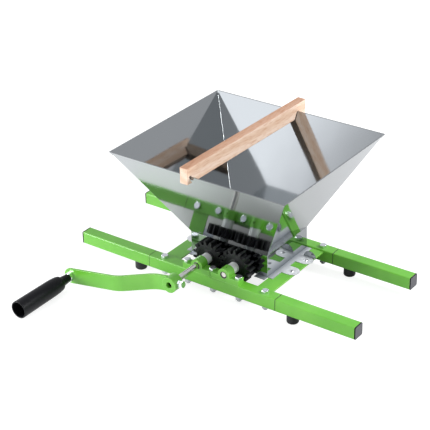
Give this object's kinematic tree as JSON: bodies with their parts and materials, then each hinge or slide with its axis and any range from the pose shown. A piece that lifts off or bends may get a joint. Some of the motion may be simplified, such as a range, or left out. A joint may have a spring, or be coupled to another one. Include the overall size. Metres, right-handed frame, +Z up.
{
  "type": "hand-cranked fruit crusher",
  "caption": "Hand-cranked fruit crusher: steel hopper on a low green rail frame, geared rollers turned by a crank, wooden bar across the mouth.",
  "frame": {"origin": "on the floor, under the centre of the whole machine's bounding box", "axes": "+X along the two rails, to the right seen from the crank side; +Y from the crank to the back; +Z up"},
  "size_m": [0.65, 0.605, 0.295],
  "materials": {
    "mirror_stainless": "mirror-polished stainless sheet",
    "green_powder_coat": "glossy apple-green powder coat",
    "black_steel": "black-painted steel",
    "black_plastic_cap": "moulded black plastic",
    "black_rubber": "moulded black rubber",
    "black_nylon_bush": "turned black nylon",
    "black_nylon": "moulded black nylon",
    "bright_steel": "turned bright steel",
    "key_steel": "drawn key steel",
    "aluminium_rivet": "plain aluminium",
    "beech_wood": "planed beech, unfinished",
    "black_grip_plastic": "satin moulded black plastic",
    "zinc_plated_steel": "bright zinc plating"
  },
  "bodies": {
    "frame": {"block_bolts": "zinc_plated_steel", "connector_bolts": "zinc_plated_steel", "foot_screws": "zinc_plated_steel", "front_centre_tube": "green_powder_coat", "front_left_block": "green_powder_coat", "front_left_bush": "black_nylon_bush", "front_left_connector": "black_steel", "front_left_end_cap": "black_plastic_cap", "front_left_extension": "green_powder_coat", "front_left_foot": "black_rubber", "front_right_block": "green_powder_coat", "front_right_bush": "black_nylon_bush", "front_right_connector": "black_steel", "front_right_end_cap": "black_plastic_cap", "front_right_extension": "green_powder_coat", "front_right_foot": "black_rubber", "hopper_funnel": "mirror_stainless", "hopper_neck": "mirror_stainless", "hopper_rivets": "aluminium_rivet", "left_cross_plate": "green_powder_coat", "left_guide_plate": "mirror_stainless", "rail_nuts": "zinc_plated_steel", "rail_washers": "zinc_plated_steel", "rear_centre_tube": "green_powder_coat", "rear_left_block": "green_powder_coat", "rear_left_bush": "black_nylon_bush", "rear_left_connector": "black_steel", "rear_left_end_cap": "black_plastic_cap", "rear_left_extension": "green_powder_coat", "rear_left_foot": "black_rubber", "rear_right_block": "green_powder_coat", "rear_right_bush": "black_nylon_bush", "rear_right_connector": "black_steel", "rear_right_end_cap": "black_plastic_cap", "rear_right_extension": "green_powder_coat", "rear_right_foot": "black_rubber", "right_cross_plate": "green_powder_coat", "right_guide_plate": "mirror_stainless"},
    "drive_train": {"drive_shaft": "bright_steel", "drive_keys": "key_steel", "drive_gear": "black_nylon", "drive_roller": "black_nylon", "drive_front_sleeve": "bright_steel", "drive_middle_sleeve": "bright_steel", "drive_rear_sleeve": "bright_steel", "crank_boss": "green_powder_coat", "crank_arm": "green_powder_coat", "crank_set_bolt": "zinc_plated_steel", "crank_lock_nut": "zinc_plated_steel", "handle_spindle": "zinc_plated_steel", "handle_nuts": "zinc_plated_steel"},
    "driven_train": {"driven_shaft": "bright_steel", "driven_keys": "key_steel", "driven_gear": "black_nylon", "driven_roller": "black_nylon", "driven_front_sleeve": "bright_steel", "driven_middle_sleeve": "bright_steel", "driven_rear_sleeve": "bright_steel"},
    "grip": {"handle_grip": "black_grip_plastic"},
    "bar": {"wooden_bar": "beech_wood"}
  },
  "joints": [
    {"name": "crank_spin", "type": "hinge", "parent": "frame", "child": "drive_train", "pos_m": [-0.032, -0.0226, 0.059], "axis": [0, 1, 0], "continuous": true},
    {"name": "driven_spin", "type": "hinge", "parent": "frame", "child": "driven_train", "pos_m": [0.032, -0.0226, 0.059], "axis": [0, 1, 0], "continuous": true},
    {"name": "grip_spin", "type": "hinge", "parent": "drive_train", "child": "grip", "pos_m": [-0.25696, -0.2186, 0.01893], "axis": [0, 1, 0], "continuous": true},
    {"name": "bar_slide", "type": "slide", "parent": "frame", "child": "bar", "axis": [1, 0, 0], "range_m": [-0.16, 0.185]}
  ],
  "couplings": [
    {"joint": "driven_spin", "follows": "crank_spin", "ratio": -1}
  ]
}
